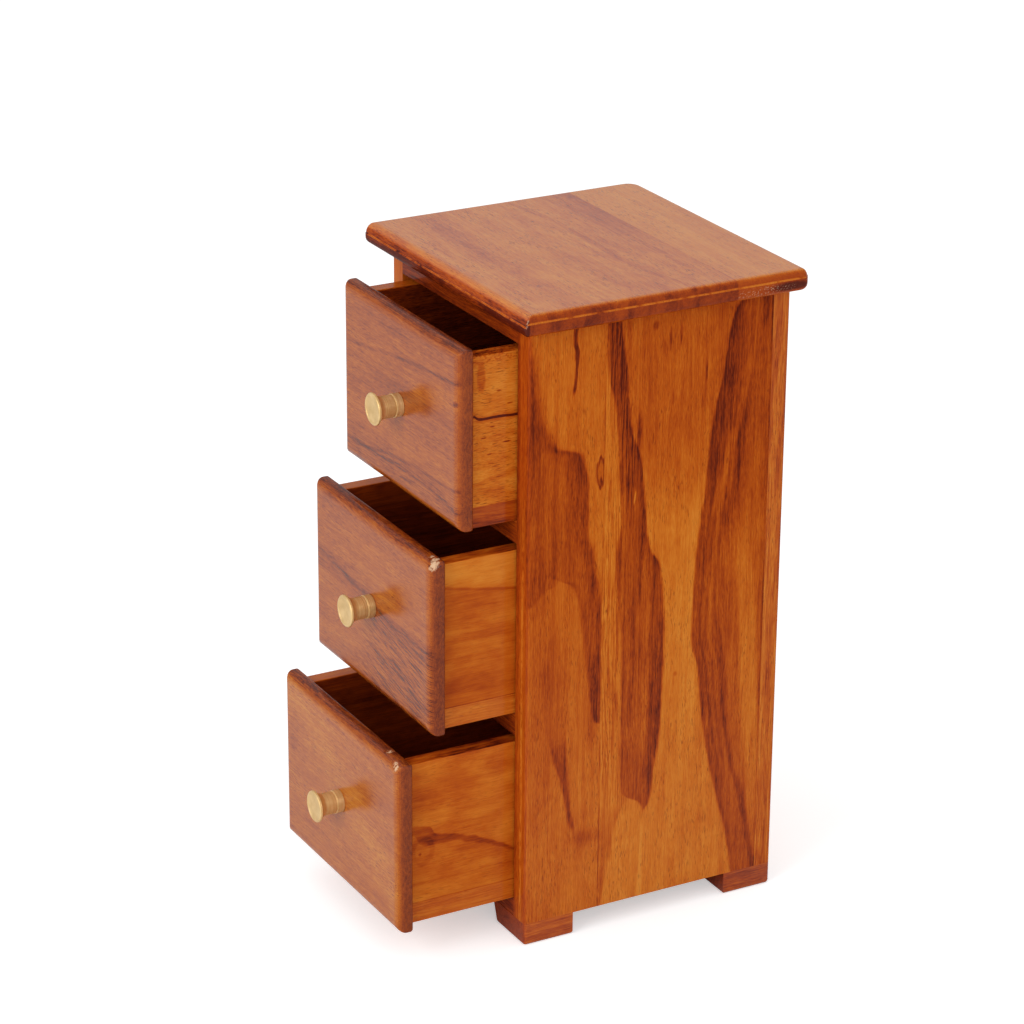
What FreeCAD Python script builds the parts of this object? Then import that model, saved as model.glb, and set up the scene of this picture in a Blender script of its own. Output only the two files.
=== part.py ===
import FreeCAD, Part
import math
import os
from FreeCAD import Vector

# Small wooden chest with three drawers for watercolour paints, in millimetres.
# +Z is up, the drawers open towards -Y and +X is on the right seen from the front.
# The origin is on the floor, under the middle of the carcass.

# Carcass: two sides, a back board, four level boards between the sides
CARCASS_W = 116.5
CARCASS_D = 120.0
CARCASS_H = 260.0
SIDE_T = 9.0
SIDE_FRONT_STAVE_W = 34.5
SIDE_ROUND = 1.5
BACK_T = 8.0
CROWN_T = 9.0
SHELF_T = 10.0
BOTTOM_T = 8.0
SHELF_EASE = 0.5

# Stopped housings in the sides that the level boards sit in
HOUSING_DEPTH = 3.0
HOUSING_STOP = 8.0
HOUSING_END_CLEAR = 0.1

# Feet, one block under each corner
FOOT_H = 10.0
FOOT_W = 23.0
FOOT_TOP_W = 26.5
FOOT_D = 23.2
FOOT_ROUND = 1.5

# Moulded top of two boards
TOP_T = 9.0
TOP_OVER_SIDE = 11.2
TOP_OVER_FRONT = 7.7
TOP_OVER_BACK = 2.1
TOP_REAR_BOARD_W = 34.0
TOP_LOWER_R = 3.0
TOP_FRONT_UPPER_R = 4.4
TOP_SIDE_UPPER_R = 3.1
TOP_LEDGE = 0.3
TOP_REAR_CORNER_R = 5.0

# Drawer fronts
FRONT_T = 7.0
FRONT_LAP_BELOW = 0.7
FRONT_LAP_ABOVE = 0.6
FRONT_ROUND = 4.0
FRONT_BACK_EASE = 1.2

# Drawer boxes: walls and a back on a bottom board as wide as the box
SIDE_GAP = 0.8
RUN_GAP = 0.3
HEAD_GAP = 2.5
REAR_GAP = 4.0
WALL_T = 7.0
DRAWER_BACK_T = 7.0
DRAWER_BOTTOM_T = 8.5
WALL_EASE = 0.6
SPLIT_WALL_LOWER_H = 36.5
WALL_IN_FRONT = 2.5
WALL_END_CLEAR = 0.1
BACK_REBATE = 3.5

# What differs from drawer to drawer, as they stand: how far each is pulled out, how far its
# front laps the sides, how much higher its front sits, and the wall made of two strips
DRAWERS = {
    "bottom": {"open": 48.4, "side_lap": 3.75, "front_rise": -0.6, "split_wall": None},
    "middle": {"open": 33.3, "side_lap": 3.25, "front_rise": 0.0, "split_wall": None},
    "top": {"open": 20.0, "side_lap": 1.5, "front_rise": 0.7, "split_wall": "right"},
}

# Turned brass knob and the machine screw that holds it
KNOB_L = 12.2
KNOB_COLLAR_R = 4.9
KNOB_COLLAR_L = 5.2
KNOB_NECK_R = 4.6
KNOB_HEAD_R = 6.75
KNOB_FLARE_L = 3.9
KNOB_RIM_T = 0.8
KNOB_RIM_BEVEL = 0.5
KNOB_THREAD_DEPTH = 7.5
KNOB_SCREW_R = 2.0
KNOB_SCREW_IN_KNOB = 6.0
KNOB_SCREW_HEAD_R = 3.8
KNOB_SCREW_HEAD_T = 2.2
KNOB_SCREW_SLOT_W = 0.9
KNOB_SCREW_SLOT_DEPTH = 1.1

# Pan-headed wood screws up through the crown board, each biting so deep into the top
SCREW_R = 1.5
SCREW_HEAD_R = 2.9
SCREW_HEAD_T = 1.8
TOP_SCREW_BITE = 5.5
TOP_SCREW_SIDE_IN = 24.0
TOP_SCREW_FRONT_IN = 20.0
TOP_SCREW_BACK_IN = 14.0
SCREW_CLEAR = 0.1

# Places that follow from the sizes above
HALF_W = CARCASS_W / 2
FRONT_Y = -CARCASS_D / 2
BACK_Y = CARCASS_D / 2
SIDE_REAR_Y = BACK_Y - BACK_T
INNER_X = HALF_W - SIDE_T
CARCASS_TOP_Z = FOOT_H + CARCASS_H
OPENING_H = (CARCASS_H - BOTTOM_T - 2 * SHELF_T - CROWN_T) / 3
OPENING_Z = {
    "bottom": FOOT_H + BOTTOM_T,
    "middle": FOOT_H + BOTTOM_T + OPENING_H + SHELF_T,
    "top": FOOT_H + BOTTOM_T + 2 * (OPENING_H + SHELF_T),
}
LEVELS = {
    "bottom_board": (FOOT_H, BOTTOM_T),
    "lower_shelf": (OPENING_Z["middle"] - SHELF_T, SHELF_T),
    "upper_shelf": (OPENING_Z["top"] - SHELF_T, SHELF_T),
    "crown_board": (CARCASS_TOP_Z - CROWN_T, CROWN_T),
}
BOX_HALF_W = INNER_X - SIDE_GAP
BOX_L = SIDE_REAR_Y - FRONT_Y - REAR_GAP
BOX_H = OPENING_H - RUN_GAP - HEAD_GAP

# Working limits: the largest rounding as a share of a piece's thinnest side, how far a
# cutting block stands out of what it cuts, and how near two numbers count as the same
ROUNDING_SHARE = 0.3
CUT_MARGIN = 1.0
SAME = 1e-6

RIGHT = Vector(1, 0, 0)
FORWARD = Vector(0, -1, 0)
BACKWARD = Vector(0, 1, 0)
UP = Vector(0, 0, 1)
SIDES = {"left": -1, "right": 1}


# Shapes used all over

def span(low, high):
    """A pair of numbers in rising order."""
    return (min(low, high), max(low, high))


def block(x, y, z):
    """Box between the low and high values of x, y and z."""
    corner = Vector(x[0], y[0], z[0])
    return Part.makeBox(x[1] - x[0], y[1] - y[0], z[1] - z[0], corner)


def edges_at(shape, **place):
    """Edges whose ends all lie at the given x, y or z."""
    def lies_there(edge):
        return all(abs(getattr(end.Point, axis) - value) < SAME
                   for end in edge.Vertexes for axis, value in place.items())
    return [edge for edge in shape.Edges if lies_there(edge)]


def eased(shape, radius, *places):
    """Shape with the edges at each of the places rounded, no more than it has room for."""
    box = shape.BoundBox
    radius = min(radius, ROUNDING_SHARE * min(box.XLength, box.YLength, box.ZLength))
    edges = [edge for place in places for edge in edges_at(shape, **place)]
    return shape.makeFillet(radius, edges)


def rounded_section(to_point, a, b, radii):
    """Face of the rectangle a by b, its corners rounded anticlockwise from (low a, low b)."""
    corners = [(a[0], b[0], 1, 1), (a[1], b[0], -1, 1), (a[1], b[1], -1, -1), (a[0], b[1], 1, -1)]
    short = 1 - math.sqrt(0.5)
    starts, middles, ends = [], [], []
    for number, ((u, v, iu, iv), radius) in enumerate(zip(corners, radii)):
        along_a = to_point(u + iu * radius, v)
        along_b = to_point(u, v + iv * radius)
        starts.append(along_a if number % 2 else along_b)
        middles.append(to_point(u + iu * radius * short, v + iv * radius * short))
        ends.append(along_b if number % 2 else along_a)
    edges = []
    for number in range(4):
        edges.append(Part.Arc(starts[number], middles[number], ends[number]).toShape())
        following = starts[(number + 1) % 4]
        if ends[number].distanceToPoint(following) > SAME:
            edges.append(Part.makeLine(ends[number], following))
    return Part.Face(Part.Wire(edges))


def turned(profile, base, direction):
    """Solid turned from (radius, height) points about the line from base along direction."""
    points = [Vector(radius, 0, height) for radius, height in profile]
    outline = Part.Face(Part.makePolygon(points + points[:1]))
    solid = outline.revolve(Vector(0, 0, 0), UP, 360)
    solid.Placement = FreeCAD.Placement(base, FreeCAD.Rotation(UP, direction))
    return solid


def rod(radius, start, direction, length):
    """Plain cylinder from start along direction."""
    return Part.makeCylinder(radius, length, start, direction)


def drilled(solid, holes):
    """Solid less the holes that reach it."""
    box = solid.BoundBox
    near = [hole for hole in holes if box.intersect(hole.BoundBox)]
    if not near:
        return solid
    return solid.cut(Part.makeCompound(near)).Solids[0]


# Fasteners: each has the piece itself and the hole it sits in

def wood_screw(mouth, direction, through, bite):
    """Wood screw whose head bears on one board at mouth and whose end is in the next, with its hole."""
    end = through + bite
    profile = [(0, -SCREW_HEAD_T), (SCREW_HEAD_R, -SCREW_HEAD_T), (SCREW_HEAD_R, 0),
               (SCREW_R, 0), (SCREW_R, end), (0, end)]
    hole = rod(SCREW_R + SCREW_CLEAR, mouth, direction, end + SCREW_CLEAR)
    return turned(profile, mouth, direction), hole


# Carcass

def top_screws():
    """Four screws up through the crown board, two into each board of the top, and their holes."""
    screws, holes = [], []
    for sign in SIDES.values():
        x = sign * (HALF_W - TOP_SCREW_SIDE_IN)
        for y in (FRONT_Y + TOP_SCREW_FRONT_IN, SIDE_REAR_Y - TOP_SCREW_BACK_IN):
            mouth = Vector(x, y, CARCASS_TOP_Z - CROWN_T)
            screw, hole = wood_screw(mouth, UP, CROWN_T, TOP_SCREW_BITE)
            screws.append(screw)
            holes.append(hole)
    return screws, holes


def level_outline(reach, front_stop, low_z, thick):
    """Level board that reaches to +-reach behind the stop and to the sides in front of it."""
    stop_y = FRONT_Y + front_stop
    z = (low_z, low_z + thick)
    between = block((-INNER_X, INNER_X), (FRONT_Y, SIDE_REAR_Y), z)
    housed = block((-reach, reach), (stop_y, SIDE_REAR_Y), z)
    return between.fuse(housed).removeSplitter()


def side_boards(sign):
    """Front and rear stave of one side, glued edge to edge, with a housing for each level."""
    outer = sign * HALF_W
    x = span(outer, sign * INNER_X)
    z = (FOOT_H, CARCASS_TOP_Z)
    joint_y = FRONT_Y + SIDE_FRONT_STAVE_W
    reach = INNER_X + HOUSING_DEPTH + HOUSING_END_CLEAR
    levels = [level_outline(reach, HOUSING_STOP - HOUSING_END_CLEAR, *level)
              for level in LEVELS.values()]
    front = eased(block(x, (FRONT_Y, joint_y), z), SIDE_ROUND, {"x": outer, "y": FRONT_Y})
    rear = block(x, (joint_y, SIDE_REAR_Y), z)
    return front.cut(levels).Solids[0], rear.cut(levels).Solids[0]


def level_board(low_z, thick, holes):
    """Board housed in the sides, its two front edges eased."""
    board = level_outline(INNER_X + HOUSING_DEPTH, HOUSING_STOP, low_z, thick)
    front_edges = ({"y": FRONT_Y, "z": low_z}, {"y": FRONT_Y, "z": low_z + thick})
    return drilled(eased(board, SHELF_EASE, *front_edges), holes)


def back_board():
    """Back over the rear edges of the sides, its outer upright corners rounded as theirs."""
    board = block((-HALF_W, HALF_W), (SIDE_REAR_Y, BACK_Y), (FOOT_H, CARCASS_TOP_Z))
    return eased(board, SIDE_ROUND, {"x": -HALF_W, "y": BACK_Y}, {"x": HALF_W, "y": BACK_Y})


def foot(sign, front):
    """Corner block, flush with the carcass outside, its inner end sloping in to the floor."""
    outer, low_in, top_in = (sign * (HALF_W - depth) for depth in (0, FOOT_W, FOOT_TOP_W))
    y = (FRONT_Y, FRONT_Y + FOOT_D) if front else (BACK_Y - FOOT_D, BACK_Y)
    outline = [(outer, 0), (low_in, 0), (top_in, FOOT_H), (outer, FOOT_H)]
    points = [Vector(x, y[0], z) for x, z in outline + outline[:1]]
    shape = Part.Face(Part.makePolygon(points)).extrude(BACKWARD * FOOT_D)
    outer_y = y[0] if front else y[1]
    return eased(shape, FOOT_ROUND, {"x": outer, "y": outer_y})


# Top

def moulded_end(to_point, end, inward, z, upper_r):
    """Edges up one moulded end of the top, with the points where they start and stop."""
    lower_r = min(TOP_LOWER_R, TOP_T / 3)
    upper_r = min(upper_r, TOP_T - lower_r - TOP_LEDGE)
    lower_short, upper_short = (radius * (1 - math.sqrt(0.5)) for radius in (lower_r, upper_r))
    lip_z = z[1] - upper_r
    places = [(lower_r, z[0]), (lower_short, z[0] + lower_short), (0, z[0] + lower_r), (0, lip_z),
              (TOP_LEDGE, lip_z), (TOP_LEDGE + upper_short, z[1] - upper_short), (TOP_LEDGE + upper_r, z[1])]
    points = [to_point(end + inward * inset, height) for inset, height in places]
    edges = [Part.Arc(*points[:3]).toShape(), Part.makeLine(points[2], points[3]),
             Part.makeLine(points[3], points[4]), Part.Arc(*points[4:]).toShape()]
    return edges, points[0], points[-1]


def face_within(edges):
    """Face bounded by edges given in any order."""
    return Part.Face(Part.Wire(Part.sortEdges(edges)[0]))


def moulded_section(to_point, a, z, low_upper_r, high_upper_r):
    """Face across the top, moulded at its low and its high end."""
    low_end, low_foot, low_crest = moulded_end(to_point, a[0], 1, z, low_upper_r)
    high_end, high_foot, high_crest = moulded_end(to_point, a[1], -1, z, high_upper_r)
    flats = [Part.makeLine(low_crest, high_crest), Part.makeLine(low_foot, high_foot)]
    return face_within(low_end + high_end + flats)


def moulded_corner(centre, start, radius, z):
    """Quarter turn of the side moulding about a rounded corner's centre, from the start direction."""
    end, foot, crest = moulded_end(lambda a, b: centre + start * a + UP * b, radius, -1, z, TOP_SIDE_UPPER_R)
    axis_foot, axis_crest = (centre + UP * height for height in z)
    flats = [Part.makeLine(crest, axis_crest), Part.makeLine(axis_crest, axis_foot),
             Part.makeLine(axis_foot, foot)]
    return face_within(end + flats).revolve(centre, UP, 90)


def moulded_top():
    """Whole top: mouldings that meet in mitres at the front and run round corners at the rear."""
    x = (-HALF_W - TOP_OVER_SIDE, HALF_W + TOP_OVER_SIDE)
    y = (FRONT_Y - TOP_OVER_FRONT, BACK_Y + TOP_OVER_BACK)
    z = (CARCASS_TOP_Z, CARCASS_TOP_Z + TOP_T)
    across = moulded_section(lambda a, b: Vector(x[0], a, b), y, z, TOP_FRONT_UPPER_R, TOP_SIDE_UPPER_R)
    along = moulded_section(lambda a, b: Vector(a, y[0], b), x, z, TOP_SIDE_UPPER_R, TOP_SIDE_UPPER_R)
    mitred = across.extrude(RIGHT * (x[1] - x[0])).common(along.extrude(BACKWARD * (y[1] - y[0])))
    squares, corners = [], []
    for corner_x, inward, start in ((x[0], 1, BACKWARD), (x[1], -1, RIGHT)):
        centre_x = corner_x + inward * TOP_REAR_CORNER_R
        centre_y = y[1] - TOP_REAR_CORNER_R
        squares.append(block(span(centre_x, corner_x), (centre_y, y[1]), z))
        centre = Vector(centre_x, centre_y, 0)
        corners.append(moulded_corner(centre, start, TOP_REAR_CORNER_R, z))
    return mitred.cut(squares).fuse(corners).removeSplitter()


def top_boards(holes):
    """Front and rear board of the top, glued edge to edge."""
    whole = drilled(moulded_top(), holes)
    box = whole.BoundBox
    box.enlarge(CUT_MARGIN)
    x, z = (box.XMin, box.XMax), (box.ZMin, box.ZMax)
    joint_y = BACK_Y + TOP_OVER_BACK - TOP_REAR_BOARD_W
    front = whole.common(block(x, (box.YMin, joint_y), z))
    rear = whole.common(block(x, (joint_y, box.YMax), z))
    return front.Solids[0], rear.Solids[0]


# Drawers

def knob(base, bore_r):
    """Turned knob: collar at the front board, slim neck, flared head with a bevelled rim."""
    bevel_start = KNOB_L - KNOB_RIM_BEVEL
    rim_start = bevel_start - KNOB_RIM_T
    face_r = KNOB_HEAD_R - KNOB_RIM_BEVEL
    profile = [(bore_r, 0), (KNOB_COLLAR_R, 0), (KNOB_COLLAR_R, KNOB_COLLAR_L),
               (KNOB_NECK_R, KNOB_COLLAR_L), (KNOB_NECK_R, rim_start - KNOB_FLARE_L),
               (KNOB_HEAD_R, rim_start), (KNOB_HEAD_R, bevel_start), (face_r, KNOB_L),
               (0, KNOB_L), (0, KNOB_THREAD_DEPTH), (bore_r, KNOB_THREAD_DEPTH)]
    return turned(profile, base, FORWARD)


def knob_screw(seat):
    """Cheese-headed machine screw from inside the drawer, with a slot across its head."""
    length = KNOB_SCREW_HEAD_T + FRONT_T + KNOB_SCREW_IN_KNOB
    profile = [(0, 0), (KNOB_SCREW_HEAD_R, 0), (KNOB_SCREW_HEAD_R, KNOB_SCREW_HEAD_T),
               (KNOB_SCREW_R, KNOB_SCREW_HEAD_T), (KNOB_SCREW_R, length), (0, length)]
    screw = turned(profile, seat + BACKWARD * KNOB_SCREW_HEAD_T, FORWARD)
    half_slot = KNOB_SCREW_SLOT_W / 2
    head_end = seat.y + KNOB_SCREW_HEAD_T
    slot = block((seat.x - KNOB_SCREW_HEAD_R, seat.x + KNOB_SCREW_HEAD_R),
                 (head_end - KNOB_SCREW_SLOT_DEPTH, head_end),
                 (seat.z - half_slot, seat.z + half_slot))
    return screw.cut(slot)


def drawer_front(x, y, z, cuts):
    """Front board, its face rounded over all round and its back edges eased."""
    face_r = min(FRONT_ROUND, FRONT_T - 2 * FRONT_BACK_EASE)
    back_r = min(FRONT_BACK_EASE, FRONT_T / 4)
    tall = rounded_section(lambda a, b: Vector(a, b, z[0]), x, y, (face_r, face_r, back_r, back_r))
    wide = rounded_section(lambda a, b: Vector(x[0], a, b), y, z, (face_r, back_r, back_r, face_r))
    board = tall.extrude(UP * (z[1] - z[0])).common(wide.extrude(RIGHT * (x[1] - x[0])))
    return board.cut(cuts).Solids[0]


def wall_x(sign):
    """Side to side span of a wall of a drawer box."""
    return span(sign * BOX_HALF_W, sign * (BOX_HALF_W - WALL_T))


def drawer_wall(sign, y, z, back_board_shape, top_edge):
    """Side wall of a drawer box, or one strip of it, rebated at the rear for the back board."""
    x = wall_x(sign)
    board = block(x, y, z)
    if top_edge:
        board = eased(board, WALL_EASE, {"x": x[0], "z": z[1]}, {"x": x[1], "z": z[1]})
    return board.cut(back_board_shape).Solids[0]


def drawer(name):
    """All pieces of one drawer, by node name."""
    own = DRAWERS[name]
    front_y = FRONT_Y - own["open"]
    back_y = front_y + BOX_L
    low_z = OPENING_Z[name] + RUN_GAP
    floor_z = low_z + DRAWER_BOTTOM_T
    high_z = low_z + BOX_H
    half = INNER_X + own["side_lap"]
    front_z = (OPENING_Z[name] - FRONT_LAP_BELOW + own["front_rise"],
               OPENING_Z[name] + OPENING_H + FRONT_LAP_ABOVE + own["front_rise"])
    seat = Vector(0, front_y, sum(front_z) / 2)

    knob_bore_r = KNOB_SCREW_R + SCREW_CLEAR
    front_cuts = [rod(knob_bore_r, seat, FORWARD, FRONT_T)]
    housing_y = (front_y - WALL_IN_FRONT - WALL_END_CLEAR, front_y)
    front_cuts += [block(wall_x(sign), housing_y, (floor_z, high_z)) for sign in SIDES.values()]
    back_half = BOX_HALF_W - WALL_T + BACK_REBATE
    back_wall = block((-back_half, back_half), (back_y - DRAWER_BACK_T, back_y), (floor_z, high_z))
    made = {
        "front": drawer_front((-half, half), (front_y - FRONT_T, front_y), front_z, front_cuts),
        "back_wall": back_wall,
        "bottom_board": block((-BOX_HALF_W, BOX_HALF_W), (front_y, back_y), (low_z, floor_z)),
        "knob": knob(seat + FORWARD * FRONT_T, knob_bore_r),
        "knob_screw": knob_screw(seat),
    }
    wall_y = (front_y - WALL_IN_FRONT, back_y)
    joint_z = floor_z + SPLIT_WALL_LOWER_H
    for side, sign in SIDES.items():
        strips = {"_wall": (floor_z, high_z)}
        if own["split_wall"] == side:
            strips = {"_wall_lower_strip": (floor_z, joint_z), "_wall_upper_strip": (joint_z, high_z)}
        for suffix, z in strips.items():
            made[side + suffix] = drawer_wall(sign, wall_y, z, back_wall, z[1] == high_z)
    return {f"{name}_drawer_{piece}": shape for piece, shape in made.items()}


def carcass():
    """All pieces that stand still, by node name."""
    screws, screw_holes = top_screws()
    made = {name: level_board(*level, screw_holes) for name, level in LEVELS.items()}
    made["back_board"] = back_board()
    made["top_front_board"], made["top_rear_board"] = top_boards(screw_holes)
    for side, sign in SIDES.items():
        front, rear = side_boards(sign)
        made[side + "_side_front_board"] = front
        made[side + "_side_rear_board"] = rear
        made[f"front_{side}_foot"] = foot(sign, True)
        made[f"rear_{side}_foot"] = foot(sign, False)
    made["top_screws"] = Part.makeCompound(screws)
    return made


os.makedirs("parts", exist_ok=True)
pieces = carcass()
for drawer_name in DRAWERS:
    pieces.update(drawer(drawer_name))
for node, solid in pieces.items():
    solid.exportStep(f"parts/{node}.step")
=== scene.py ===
"""Small lacquered wooden chest with three drawers and turned brass knobs.

Places and sizes are in metres, but the wood patterns are drawn in the CAD's millimetres.
"""
import functools
import math

import bmesh
import bpy
from mathutils import Matrix, Vector, noise


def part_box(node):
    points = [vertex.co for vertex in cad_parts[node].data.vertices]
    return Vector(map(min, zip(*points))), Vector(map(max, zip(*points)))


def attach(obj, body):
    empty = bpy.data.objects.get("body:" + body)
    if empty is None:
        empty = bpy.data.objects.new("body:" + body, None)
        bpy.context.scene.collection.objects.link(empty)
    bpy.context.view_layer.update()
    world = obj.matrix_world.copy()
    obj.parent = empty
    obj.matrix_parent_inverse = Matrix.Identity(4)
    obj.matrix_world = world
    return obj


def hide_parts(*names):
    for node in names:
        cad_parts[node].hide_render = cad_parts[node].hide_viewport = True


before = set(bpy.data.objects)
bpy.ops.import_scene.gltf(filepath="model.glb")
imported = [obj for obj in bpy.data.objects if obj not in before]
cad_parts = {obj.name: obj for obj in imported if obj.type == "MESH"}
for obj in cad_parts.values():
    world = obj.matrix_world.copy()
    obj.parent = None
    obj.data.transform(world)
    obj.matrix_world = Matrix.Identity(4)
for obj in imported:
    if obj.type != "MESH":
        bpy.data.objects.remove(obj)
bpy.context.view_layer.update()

MM = 0.001

# Camera: its place, the point it looks at, its roll, its lens and its sensor
CAMERA_PLACE = (1.19790, -0.69600, 0.71957)
CAMERA_AIM = (-0.02026, -0.02379, 0.15902)
CAMERA_ROLL_DEG = 0.42
CAMERA_LENS_MM = 125.67
CAMERA_SENSOR_MM = 36.0

# Studio: place and power of the lamps, strength of the surroundings as light and as seen, tones of the floor,
# and what it gains where the camera sees it
LAMPS = {"front_lamp": ((0.40, -1.35, 0.80), 9.0), "side_lamp": ((1.40, -0.30, 0.95), 3.5)}
LAMP_AIM = (0, 0, 0.12)
LAMP_SIZE = 0.9
SURROUNDINGS_LIGHT = 0.70
SURROUNDINGS_SEEN = 1.0
FLOOR_HALF_SIZE = 3.0
FLOOR_TONES = [(0.0, (0.86, 0.86, 0.86)), (1.0, (0.90, 0.90, 0.90))]
FLOOR_GLOW = 0.45

# Rounding of the visible boards, length of a foot along the floor, and how rounds are cut into faces
TOP_LOWER_R = 3.0 * MM
TOP_FRONT_UPPER_R = 4.4 * MM
TOP_SIDE_UPPER_R = 3.1 * MM
TOP_LEDGE = 0.3 * MM
TOP_LEDGE_RISE = 0.03 * MM
TOP_CORNER_R = {"front_right": 0.8 * MM, "rear_right": 3.8 * MM,
                "rear_left": 7.0 * MM, "front_left": 2.2 * MM}
TOP_CORNER_LEAST_R = 0.5 * MM
TOP_SEAM_R = 0.02 * MM
FOOT_LENGTH = 23.0 * MM
FOOT_ROUND = 1.5 * MM
FOOT_STEPS = 5
FRONT_FACE_R = 4.0 * MM
FRONT_BACK_R = 1.2 * MM
FRONT_BACK_STEPS = 4
CORNER_R = 0.7 * MM
CAP_INSET = 0.4 * MM
ARC_STEPS = 8
SHARP_DEG = 35.0

# Knob: radii of its neck and head, where and how the neck flares, height of its face, and faces round it
NECK_R_MM = 4.7
HEAD_R_MM = 6.75
FLARE_START_MM = 8.0
FLARE_LENGTH_MM = 3.1
FLARE_POWER = 1.8
FLARE_STEPS = 8
KNOB_LENGTH_MM = 12.2
KNOB_STEPS = 96
KNOB_SHARP_DEG = 28.0

# Places where the lacquer and some wood have chipped off: centre, reach and depth
TOP_CHIPS = [
    ((0.0692, -0.0674, 0.2766), 1.3 * MM, 0.5 * MM),
    ((0.0692, -0.0675, 0.2752), 0.8 * MM, 0.3 * MM),
]
FRONT_CHIPS = {
    "top": [],
    "middle": [
        ((0.0519, -0.0985, 0.1766), 3.0 * MM, 1.3 * MM),
        ((0.0488, -0.0965, 0.1773), 2.0 * MM, 0.8 * MM),
        ((0.0455, -0.0962, 0.1774), 1.4 * MM, 0.5 * MM),
    ],
    "bottom": [
        ((0.0376, -0.1118, 0.0924), 1.9 * MM, 0.7 * MM),
        ((0.0475, -0.1146, 0.0921), 2.3 * MM, 0.7 * MM),
        ((0.0498, -0.1152, 0.0908), 1.8 * MM, 0.6 * MM),
        ((0.0425, -0.1152, 0.0915), 0.9 * MM, 0.4 * MM),
    ],
}

# Glue joints that show on the right side and on the top, in the CAD's millimetres
SIDE_JOINT_Y_MM = -25.5
TOP_JOINT_Y_MM = 28.1

# Directions, and how squarely a face must look one way for its coat to gain and to reach its whole weight
FORWARD = (0, -1, 0)
UP = (0, 0, 1)
LEFT = (-1, 0, 0)
COAT_START = 0.78
COAT_WHOLE = 0.92

# Wood tones from pale to dark, as linear colours, and the bare wood under the lacquer
PALE = (0.660, 0.225, 0.026)
GOLD = (0.580, 0.155, 0.013)
ORANGE = (0.470, 0.090, 0.006)
RUSSET = (0.340, 0.048, 0.004)
UMBER = (0.190, 0.023, 0.004)
DARK = (0.085, 0.010, 0.004)
BARE = (0.680, 0.440, 0.270)
WOOD_STOPS = [(0.0, PALE), (0.25, GOLD), (0.5, ORANGE), (0.72, RUSSET), (0.88, UMBER), (1.0, DARK)]


# Meshes

def mesh_object(name, points, faces, sharp_deg=SHARP_DEG):
    """Object of the given points and faces, smooth except across sharp edges."""
    mesh = bpy.data.meshes.new(name)
    mesh.from_pydata(points, [], faces)
    mesh.validate()
    mesh.shade_smooth()
    mesh.set_sharp_from_angle(angle=math.radians(sharp_deg))
    made = bpy.data.objects.new(name, mesh)
    bpy.context.scene.collection.objects.link(made)
    return made


def ring_solid(name, rings):
    """Closed solid through a row of rings with as many points each, capped at both ends."""
    count = len(rings[0])
    points = [point for ring in rings for point in ring]
    faces = []
    for level in range(len(rings) - 1):
        for place in range(count):
            following = (place + 1) % count
            low, high = level * count, (level + 1) * count
            faces.append((low + place, low + following, high + following, high + place))
    faces.append(tuple(reversed(range(count))))
    last = (len(rings) - 1) * count
    faces.append(tuple(range(last, last + count)))
    return mesh_object(name, points, faces)


def rounded_rectangle(a, b, radii, corner_steps=6, side_steps=90):
    """Points (a, b) round a rectangle from its (high a, low b) corner, anticlockwise."""
    corners = [(a[1], b[0], -90), (a[1], b[1], 0), (a[0], b[1], 90), (a[0], b[0], 180)]
    arcs = []
    for (corner_a, corner_b, start), radius in zip(corners, radii):
        centre_a = corner_a - radius if corner_a == a[1] else corner_a + radius
        centre_b = corner_b - radius if corner_b == b[1] else corner_b + radius
        angles = [math.radians(start + 90 * step / corner_steps) for step in range(corner_steps + 1)]
        arcs.append([(centre_a + radius * math.cos(angle), centre_b + radius * math.sin(angle))
                     for angle in angles])
    points = []
    for number, arc in enumerate(arcs):
        points += arc
        last, following = arc[-1], arcs[(number + 1) % 4][0]
        for step in range(1, side_steps):
            share = step / side_steps
            points.append(tuple(p + (q - p) * share for p, q in zip(last, following)))
    return points


def quarter(radius, steps=ARC_STEPS):
    """Pairs (depth, inset) of a quarter round, from its face to its side."""
    pairs = []
    for step in range(steps + 1):
        angle = 0.5 * math.pi * step / steps
        pairs.append((radius * (1 - math.cos(angle)), radius * (1 - math.sin(angle))))
    return pairs


def worn(point, middle, chips, amount=0.10 * MM, size=9 * MM):
    """The point, drawn in towards the middle as sanding wanders, and further where wood has chipped."""
    spot = Vector(point)
    inward = (Vector(middle) - spot).normalized()
    depth = amount * (0.5 + 0.5 * noise.noise(spot / size))
    for centre, radius, bite in chips:
        rough = 1 + 0.5 * noise.noise(spot / (0.8 * MM))
        share = max(0.0, 1 - (spot - Vector(centre)).length / (radius * rough))
        depth += bite * min(1.0, 1.8 * share)
    return spot + inward * depth


# Materials

class Nodes:
    """A cleared node tree, with short calls for adding to it."""

    def __init__(self, owner):
        owner.use_nodes = True
        self.tree = owner.node_tree
        self.tree.nodes.clear()

    def add(self, kind, inputs=None, **settings):
        """New node with its settings, and its inputs linked or set."""
        node = self.tree.nodes.new(kind)
        for key, value in settings.items():
            setattr(node, key, value)
        for key, value in (inputs or {}).items():
            socket = node.inputs[key]
            if isinstance(value, bpy.types.NodeSocket):
                self.tree.links.new(value, socket)
            elif value is not None:
                is_plain_colour = socket.type == "RGBA" and len(value) == 3
                socket.default_value = (*value, 1.0) if is_plain_colour else value
        return node

    def math(self, operation, *values):
        """Result of one operation on numbers."""
        return self.add("ShaderNodeMath", dict(enumerate(values)), operation=operation).outputs[0]


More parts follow.
